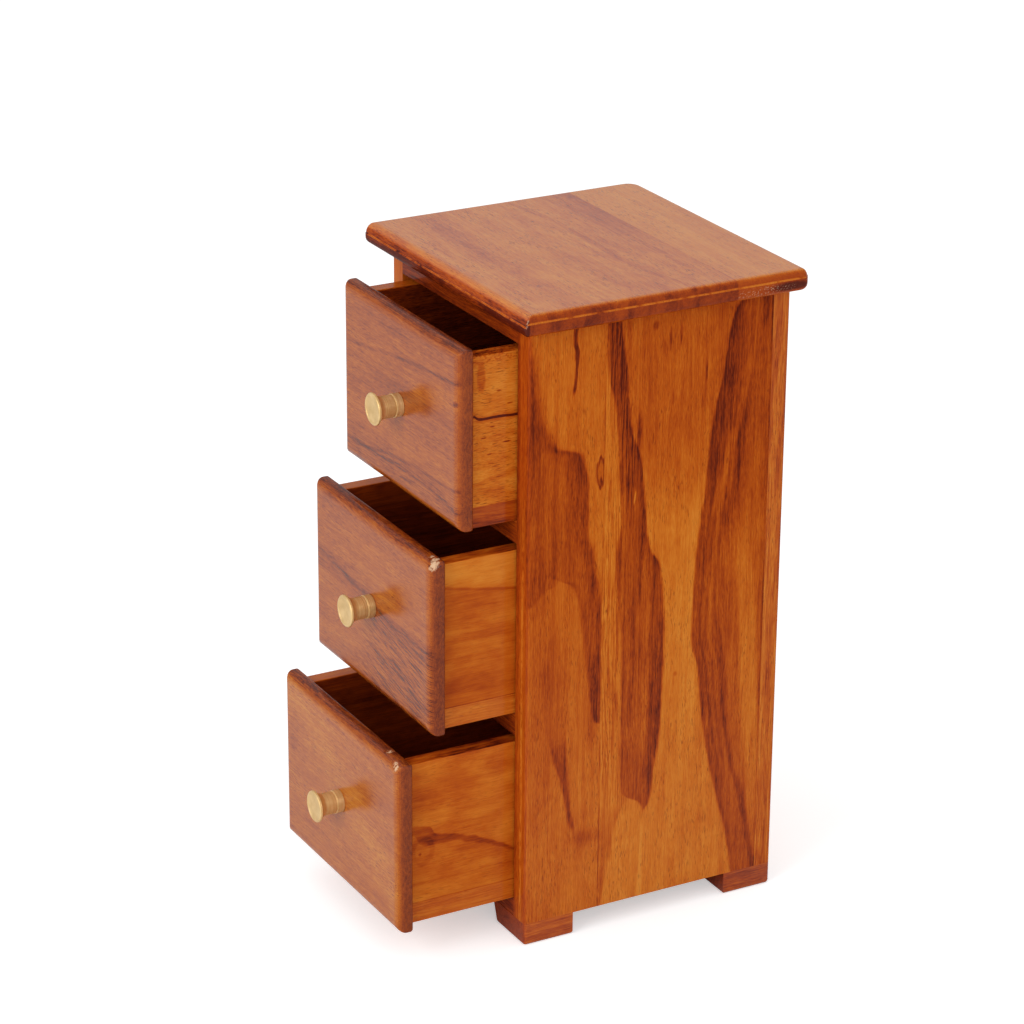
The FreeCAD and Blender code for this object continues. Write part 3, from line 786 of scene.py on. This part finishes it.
def middle_front_face_figure(shader):
    """Dark streak behind the knob of the middle drawer's front, with fine threads under it."""
    x, z = shader.x, shader.z
    streak = shader.route(x, [
        (-54, 149), (-26.4, 146), (-17, 144.3), (-3.8, 143.6), (6.6, 140.5), (22.1, 138.8), (54, 139)])
    under = shader.less(streak, z)
    bent = shader.combine(x, 0.0, shader.scaled(x, 0.22, z))
    fine = shader.patches(0.46, 0.60, (16, 16, 0.6), 57, detail=3, place=bent)
    low = shader.product(shader.fall(z, 134, 142), shader.rise(x, -20, 6))
    return on_face(
        shader,
        (shader.line(z, streak, 1.0, 2.6), 0.11), (shader.shade(under, 12, 1.0), 0.10),
        (fine, low, 0.32), (fine, shader.rise(z, 150, 170), 0.10))


def bottom_front_face_figure(shader):
    """Pale slanting cloud on the bottom drawer's front."""
    slanted = shader.scaled(shader.x, 0.55, shader.z)
    return on_face(
        shader,
        (shader.between(slanted, 52, 74, 14), -0.14),
        (shader.spot(shader.x, shader.z, (-44, 62), (4, 3), 0.8), 0.20))


def moulding_arris_highlight(shader):
    """1 along the arris under the upper round of the top's moulding, in ragged patches, where a painted
    highlight is drawn.
    """
    off_side = shader.rise(shader.math("ABSOLUTE", shader.x), 68.7, 69.1)
    off_front = shader.fall(shader.y, -67.4, -67.0)
    ragged = shader.patches(0.30, 0.50, (6, 6, 6), 61.0, detail=3)
    lines = shader.add_up((off_side, shader.line(shader.z, 275.95, 0.4, 0.3)),
                          (off_front, shader.line(shader.z, 274.65, 0.4, 0.3)))
    return shader.product(lines, ragged)


def moulding_painted_light(shader):
    """Darkness of the moulding: darker all along it, with painted shade deepest in front and under its arris
    there, blotches in its tone, and a painted highlight along the arris.
    """
    off_side = shader.rise(shader.math("ABSOLUTE", shader.x), 66.8, 68.0)
    off_front = shader.fall(shader.y, -67.3, -65.4)
    edge = shader.math("MAXIMUM", off_side, off_front)
    low = shader.fall(shader.z, 274.2, 276.2)
    blotches = shader.patches(0.42, 0.62, (4, 4, 1.6), 66.0, detail=4, roughness=0.65)
    # The front terms are painted shade, deeper under the arris; the arris term is a painted highlight
    return shader.add_up((edge, 0.24), (edge, blotches, 0.04), (off_front, 0.30), (off_front, low, 0.20),
                         (moulding_arris_highlight(shader), -0.50))


def top_rear_figure(shader):
    """Moulding with its painted shade and painted highlight, and a dark stain low on it beside the rear
    corner.
    """
    at_side = shader.rise(shader.x, 67.5, 68.7)
    stain = shader.spot(shader.y, shader.z, (53, 273.4), (9, 1.8), 0.6)
    return shader.add_up((moulding_painted_light(shader), 1.0), (at_side, stain, 0.40))


def specks(shader):
    """Mask of small bare specks low on the rear part of the right moulding."""
    grains = shader.patches(0.58, 0.66, (0.45, 0.6, 0.45), 9.1, detail=2)
    zone = shader.product(shader.rise(shader.x, 67.8, 68.6),
                          shader.spot(shader.y, shader.z, (40, 272.9), (13, 1.9), 0.5))
    return shader.product(grains, zone, 0.55)


def top_front_figure(shader):
    """Moulding with its painted shade and painted highlight, a dark tone beside the glue joint of the top, a
    faint streak across it, and clouds.
    """
    x, y = shader.x, shader.y
    streak = shader.route(x, [(-70, -3), (-26, 2.4), (22, 1.9), (67, 8.6)])
    to_joint = shader.less(TOP_JOINT_Y_MM, y)
    cloud = shader.patches(0.44, 0.66, (22, 7, 22), 64, detail=4, roughness=0.6)
    return shader.add_up(
        (moulding_painted_light(shader), 1.0), (shader.turned_to(UP), shader.line(y, streak, 1.0, 1.8), 0.20),
        (shader.between(x, -66, -5, 14), shader.shade(to_joint, 14), 0.26),
        (shader.shade(to_joint, 30), 0.08), (cloud, 0.16),
        (shader.spot(x, y, (-49, -42), (12, 6), 0.8), 0.14),
        (shader.spot(x, y, (-12, -46), (14, 5), 0.8), 0.14))


# Top boards, feet, drawer fronts and knobs, modelled finer than the frame has them

def capped(levels):
    """Levels (place, insets) with a slightly smaller one at each end, which keeps the end faces flat."""
    first, last = ((place, *(inset + CAP_INSET for inset in insets))
                   for place, *insets in (levels[0], levels[-1]))
    return [first, *levels, last]


def moulding_inset(z, low, high, upper_r):
    """How far the moulding lies inside its outermost face at a height."""
    lip = high - upper_r
    if z <= low + TOP_LOWER_R:
        rise = low + TOP_LOWER_R - z
        return TOP_LOWER_R - math.sqrt(max(0.0, TOP_LOWER_R ** 2 - rise ** 2))
    if z <= lip:
        return 0.0
    rise = z - lip
    return TOP_LEDGE + upper_r - math.sqrt(max(0.0, upper_r ** 2 - rise ** 2))


def top_board(name, node, rear):
    """One board of the top, with the moulding on its outer edges."""
    low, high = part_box(node)
    heights = [low.z + depth for depth, _ in quarter(TOP_LOWER_R)]
    for upper_r in (TOP_FRONT_UPPER_R, TOP_SIDE_UPPER_R):
        heights += [high.z - upper_r, high.z - upper_r + TOP_LEDGE_RISE]
        heights += [high.z - depth for depth, _ in quarter(upper_r)[:-1]]
    levels = [(z, moulding_inset(z, low.z, high.z, TOP_FRONT_UPPER_R),
               moulding_inset(z, low.z, high.z, TOP_SIDE_UPPER_R)) for z in sorted(set(heights))]
    ends = ("rear_right", "rear_left") if rear else ("front_right", "front_left")
    rings = []
    for z, front, side in capped(levels):
        y_low, y_high = (low.y, high.y - side) if rear else (low.y + front, high.y)
        right, left = (max(TOP_CORNER_R[end] - side, TOP_CORNER_LEAST_R) for end in ends)
        radii = (TOP_SEAM_R, right, left, TOP_SEAM_R) if rear else (right, TOP_SEAM_R, TOP_SEAM_R, left)
        outline = rounded_rectangle((low.x + side, high.x - side), (y_low, y_high), radii)
        rings.append([worn((a, b, z), (0, b, (low.z + high.z) / 2), TOP_CHIPS) for a, b in outline])
    return ring_solid(name, rings)


def foot_block(name, node, side, end):
    """Foot with a sloping inner end, rounded along the floor and at the carcass corner."""
    low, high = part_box(node)
    outer, inner_top = (high.x, low.x) if side > 0 else (low.x, high.x)
    inner_low = outer - side * FOOT_LENGTH
    outer_y = low.y if end < 0 else high.y
    outline = [(outer, low.z), (inner_low, low.z), (inner_top, high.z), (outer, high.z)]
    shape = bmesh.new()
    corners = [shape.verts.new((x, y, z)) for y in (low.y, high.y) for x, z in outline]
    for face in ((0, 1, 2, 3), (7, 6, 5, 4), (0, 4, 5, 1), (1, 5, 6, 2), (2, 6, 7, 3), (3, 7, 4, 0)):
        shape.faces.new([corners[number] for number in face])
    bmesh.ops.recalc_face_normals(shape, faces=shape.faces)

    def is_rounded(edge):
        ends = [corner.co for corner in edge.verts]
        on_floor = all(abs(spot.z - low.z) < 1e-6 for spot in ends)
        at_corner = all(abs(spot.x - outer) < 1e-6 and abs(spot.y - outer_y) < 1e-6 for spot in ends)
        return on_floor or at_corner

    bmesh.ops.bevel(shape, geom=[edge for edge in shape.edges if is_rounded(edge)], offset=FOOT_ROUND,
                    segments=FOOT_STEPS, profile=0.5, affect="EDGES")
    bmesh.ops.recalc_face_normals(shape, faces=shape.faces)
    shape.verts.index_update()
    points = [tuple(corner.co) for corner in shape.verts]
    faces = [[corner.index for corner in face.verts] for face in shape.faces]
    shape.free()
    return mesh_object(name, points, faces)


def drawer_front(name, node, chips):
    """Front board of a drawer: face rounded over all round, back edges eased."""
    low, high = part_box(node)
    levels = [(low.y + depth, inset) for depth, inset in quarter(FRONT_FACE_R)]
    levels += [(high.y - depth, inset) for depth, inset in reversed(quarter(FRONT_BACK_R, FRONT_BACK_STEPS))]
    middle = (low + high) / 2
    rings = []
    for y, inset in capped(levels):
        outline = rounded_rectangle((low.x + inset, high.x - inset), (low.z + inset, high.z - inset),
                                    (CORNER_R,) * 4)
        rings.append([worn((a, y, b), middle, chips) for a, b in outline])
    return ring_solid(name, rings)


def turned_solid(name, profile, base, steps=KNOB_STEPS):
    """Solid turned about the line from base towards -Y, from (radius, height) points."""
    points = [(base.x, base.y - profile[0][1], base.z)]
    for radius, height in profile[1:-1]:
        for step in range(steps):
            angle = 2 * math.pi * step / steps
            points.append((base.x + radius * math.cos(angle), base.y - height,
                           base.z + radius * math.sin(angle)))
    points.append((base.x, base.y - profile[-1][1], base.z))
    faces = []
    last = len(points) - 1
    rows = len(profile) - 2
    for step in range(steps):
        following = (step + 1) % steps
        faces.append((0, 1 + step, 1 + following))
        for row in range(rows - 1):
            low, high = 1 + row * steps, 1 + (row + 1) * steps
            faces.append((low + step, high + step, high + following, low + following))
        top = 1 + (rows - 1) * steps
        faces.append((last, top + following, top + step))
    return mesh_object(name, points, faces, KNOB_SHARP_DEG)


def knob_profile(length):
    """(radius, height) points of a knob: collar, neck, flared head, dished face."""
    points = [(0, 0), (4.75, 0), (4.9, 0.15), (4.9, 0.35), (4.9, 2.9), (4.9, 3.1), (4.84, 3.2), (4.68, 3.26),
              (4.66, 3.4), (NECK_R_MM, 3.6), (NECK_R_MM, 7.8), (NECK_R_MM, FLARE_START_MM)]
    for step in range(1, FLARE_STEPS + 1):
        share = step / FLARE_STEPS
        points.append((NECK_R_MM + (HEAD_R_MM - NECK_R_MM) * share ** FLARE_POWER,
                       FLARE_START_MM + FLARE_LENGTH_MM * share))
    points += [(HEAD_R_MM, 11.55), (6.68, 11.78), (6.3, 12.12), (6.1, KNOB_LENGTH_MM), (5.75, KNOB_LENGTH_MM),
               (5.55, 12.1), (5.35, 11.92), (3.0, 11.78), (0, 11.72)]
    scale = length / KNOB_LENGTH_MM
    return [(radius * MM, height * scale * MM) for radius, height in points]


# Dressing of the frame

def dress(material, *nodes):
    """Gives CAD nodes a material."""
    for name in nodes:
        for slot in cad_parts[name].material_slots:
            slot.material = material


def replace(piece, node, body, material):
    """Puts the piece in a node's place."""
    piece.data.materials.append(material)
    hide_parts(node)
    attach(piece, body)


# What sets the drawers apart: tone and figure of the right wall, pores of both walls, tone of the bottom,
# and tone, figure and darker end grain of the front
DRAWERS = {
    "top": {"wall": (0.24, top_drawer_wall_figure), "pores": 1.4, "bottom": 0.62,
            "front": (0.62, top_front_face_figure, 0.03)},
    "middle": {"wall": (0.42, middle_drawer_wall_figure), "pores": 0.4, "bottom": 0.38,
               "front": (0.60, middle_front_face_figure, 0.09)},
    "bottom": {"wall": (0.42, bottom_drawer_wall_figure), "pores": 0.6, "bottom": 0.42,
               "front": (0.57, bottom_front_face_figure, 0.09)},
}

studio()

# Carcass
for place, seed, tone, figure in (("front", 3.1, 0.36, right_front_figure),
                                  ("rear", 7.4, 0.42, right_rear_figure)):
    dress(lacquered_wood(f"wood_side_right_{place}", "z", seed, tone, figure, stripes=0.8,
                         coat=side_gloss, pores=1.2), f"right_side_{place}_board")
dress(lacquered_wood("wood_side_left", "z", seed=12.9, tone=0.45), "left_side_front_board")
dress(lacquered_wood("wood_side_left_rear", "z", seed=14.2, tone=0.38), "left_side_rear_board")
dress(lacquered_wood("wood_back", "z", seed=17.3, tone=0.42, stripes=2.2, ends=0.0), "back_board")
dress(lacquered_wood("wood_levels", "x", seed=21.8, tone=0.80, coat=0.4),
      "bottom_board", "lower_shelf", "upper_shelf", "crown_board")

# Drawer boxes
for number, (drawer, look) in enumerate(DRAWERS.items()):
    starts = (f"{drawer}_drawer_left_wall", f"{drawer}_drawer_right_wall")
    for place, wall in enumerate(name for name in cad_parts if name.startswith(starts)):
        seed = 31.7 + 4.3 * number + 1.9 * place
        # Left walls take painted shade on their inner faces, right walls their own tone and figure
        tone, figure, coat = (0.42, inner_painted_shade, 0.5) if "left" in wall else (*look["wall"], 0.15)
        dress(lacquered_wood(f"wood_{wall}", "y", seed, tone, figure, stripes=0.6, coat=coat,
                             pores=look["pores"]), wall)
    # The back wall takes painted shade inside the drawer
    dress(lacquered_wood(f"wood_{drawer}_back", "x", seed=45.1 + 4.3 * number, tone=0.55,
                         figure=inner_painted_shade, coat=0.15), f"{drawer}_drawer_back_wall")
    dress(lacquered_wood(f"wood_{drawer}_bottom", "y", seed=58.7 + 4.3 * number, tone=look["bottom"],
                         coat=0.3, stripes=1.2, pores=0.6), f"{drawer}_drawer_bottom_board")

# Top
for place, seed, tone, figure, bare, stripes, pores in (
        ("front", 71.3, 0.24, top_front_figure, chipped(TOP_CHIPS, 0.5), 1.0, 1.5),
        ("rear", 75.9, 0.17, top_rear_figure, specks, 0.9, 1.3)):
    wood = lacquered_wood(f"wood_top_{place}", "x", seed, tone, figure, bare, coat=1.0, stripes=stripes,
                          pores=pores, ends=0.26, faces=(0, -0.35, 0.94))
    node = f"top_{place}_board"
    replace(top_board(f"top_{place}", node, place == "rear"), node, "carcass", wood)

# Feet
for number, (end_name, end) in enumerate((("front", -1), ("rear", 1))):
    for side_name, side in (("left", -1), ("right", 1)):
        node = f"{end_name}_{side_name}_foot"
        wood = lacquered_wood(f"wood_{node}", "y", seed=25.2 + 3.1 * number + 1.3 * side,
                              tone=0.60 + 0.03 * number, coat=0.7, stripes=1.3)
        foot = foot_block(f"{end_name}_{side_name}_block", node, side, end)
        replace(foot, node, "carcass", wood)

# Drawer fronts and knobs
brass_material = brass()
for number, (drawer, look) in enumerate(DRAWERS.items()):
    body = drawer + "_drawer"
    chips = FRONT_CHIPS[drawer]
    tone, figure, ends = look["front"]
    face = drawer_front(f"{drawer}_front_board", body + "_front", chips)
    wood = lacquered_wood(f"wood_{drawer}_front", "x", seed=81.7 + 5.9 * number, tone=tone, figure=figure,
                          bare=chipped(chips) if chips else None, coat=1.0, stripes=0.8, pores=1.4,
                          ends=ends, faces=FORWARD, rest=0.5, tint=(0.93, 1.22, 1.3), blur=0.22)
    replace(face, body + "_front", body, wood)
    low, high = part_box(body + "_knob")
    base = Vector(((low.x + high.x) / 2, high.y, (low.z + high.z) / 2))
    knob = turned_solid(f"{drawer}_turned_knob", knob_profile((high.y - low.y) / MM), base)
    replace(knob, body + "_knob", body, brass_material)

dress(steel(), "top_screws", *(f"{drawer}_drawer_knob_screw" for drawer in DRAWERS))
